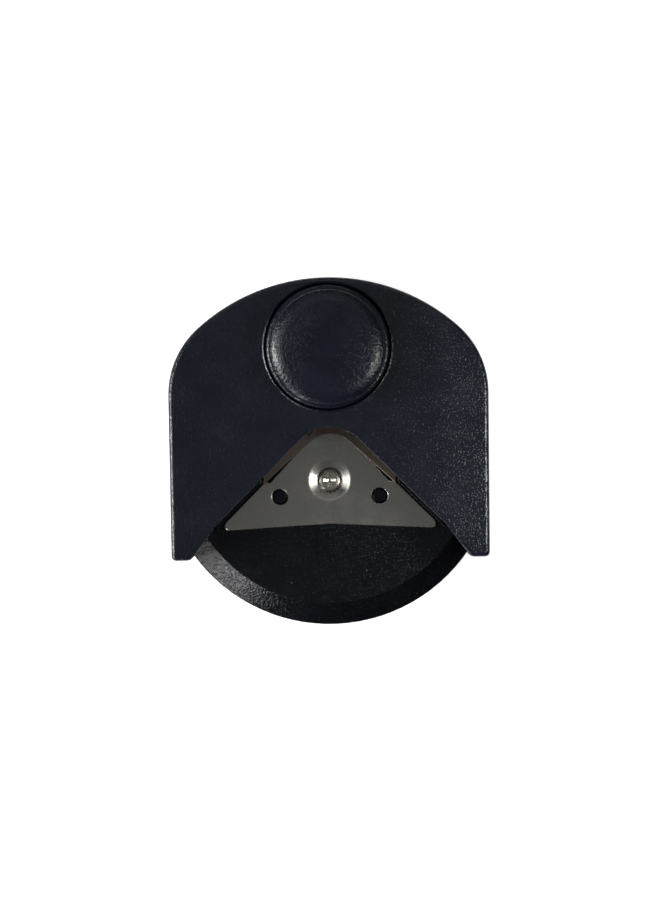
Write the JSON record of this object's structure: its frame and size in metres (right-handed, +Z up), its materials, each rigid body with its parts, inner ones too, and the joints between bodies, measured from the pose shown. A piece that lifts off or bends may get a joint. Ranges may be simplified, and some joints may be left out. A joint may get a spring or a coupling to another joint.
{
  "type": "corner rounder punch",
  "caption": "Hand-held corner rounder punch: black two-part housing with a V-shaped paper guide, steel die plate, sprung round push button with a hollow-edged blade, and a pull-off chip tray.",
  "frame": {"origin": "on the resting plane, below the middle of the overall length and width", "axes": "+X to the right, +Y to the back where the button is, +Z up; the V notch opens towards -Y"},
  "size_m": [0.0538, 0.0584, 0.03],
  "materials": {
    "base_plastic": "black, fine spark-eroded grain",
    "cover_plastic": "blue-black, fine spark-eroded grain, semi-gloss",
    "button_plastic": "blue-black, fine spark-eroded grain, semi-gloss",
    "tray_plastic": "black, smooth",
    "carrier_plastic": "natural, satin",
    "plate_steel": "stamped and tumbled, grey",
    "blade_steel": "ground",
    "screw_steel": "nickel-plated",
    "spring_steel": "drawn wire"
  },
  "bodies": {
    "housing": {"base_shell": "base_plastic", "top_cover": "cover_plastic", "die_plate": "plate_steel", "die_screw": "screw_steel", "spacer_plate": "plate_steel", "stripper_plate": "plate_steel", "guide_screw_left": "screw_steel", "guide_screw_right": "screw_steel", "housing_screw_front_left": "screw_steel", "housing_screw_front_right": "screw_steel", "housing_screw_back_left": "screw_steel", "housing_screw_back_right": "screw_steel", "guide_pin_left": "blade_steel", "guide_pin_right": "blade_steel", "return_spring_left": "spring_steel", "return_spring_right": "spring_steel"},
    "press": {"push_button": "button_plastic", "button_screw": "screw_steel", "punch_carrier": "carrier_plastic", "punch_blade": "blade_steel", "blade_pin": "blade_steel"},
    "tray": {"chip_tray": "tray_plastic"}
  },
  "joints": [
    {"name": "button_press", "type": "slide", "parent": "housing", "child": "press", "axis": [0, 0, -1], "range_m": [0, 0.0035], "stiffness_N_per_m": 1500, "springref_m": -0.002, "deforming": ["return_spring_left", "return_spring_right"]},
    {"name": "tray_pull", "type": "slide", "parent": "housing", "child": "tray", "axis": [0, 0, -1], "range_m": [0, 0.012]}
  ]
}
